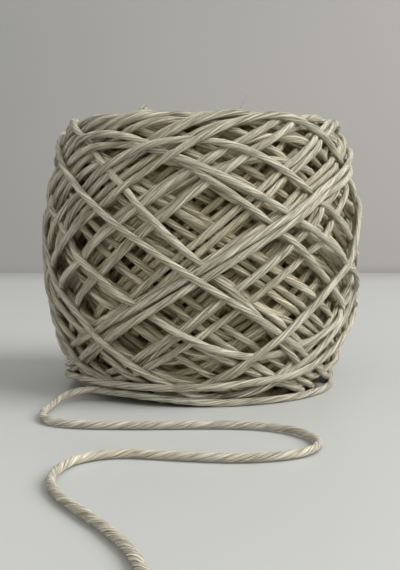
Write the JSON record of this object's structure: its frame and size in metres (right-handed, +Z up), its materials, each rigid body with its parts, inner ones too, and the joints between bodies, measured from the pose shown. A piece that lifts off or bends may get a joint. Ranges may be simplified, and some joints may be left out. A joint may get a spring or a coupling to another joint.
{
  "type": "cord spool",
  "caption": "Barrel-shaped package of thin natural cotton cord, cross-wound on a plain paper tube and standing on its end, with its loose end laid out in curves in front.",
  "frame": {"origin": "middle of the tube's lower end, on the surface that the package stands on", "axes": "+Z up along the tube's bore, -Y towards the side where the loose end lies, +X to the right seen from there"},
  "size_m": [0.137, 0.3147, 0.1137],
  "materials": {
    "tube": "matt spiral-wound paperboard",
    "cord": "undyed soft-twisted cotton, matt and slightly fuzzy"
  },
  "bodies": {
    "root": {"core_tube": "tube", "inner_winding": "cord", "outer_winding": "cord", "loose_tail": "cord"}
  },
  "joints": []
}
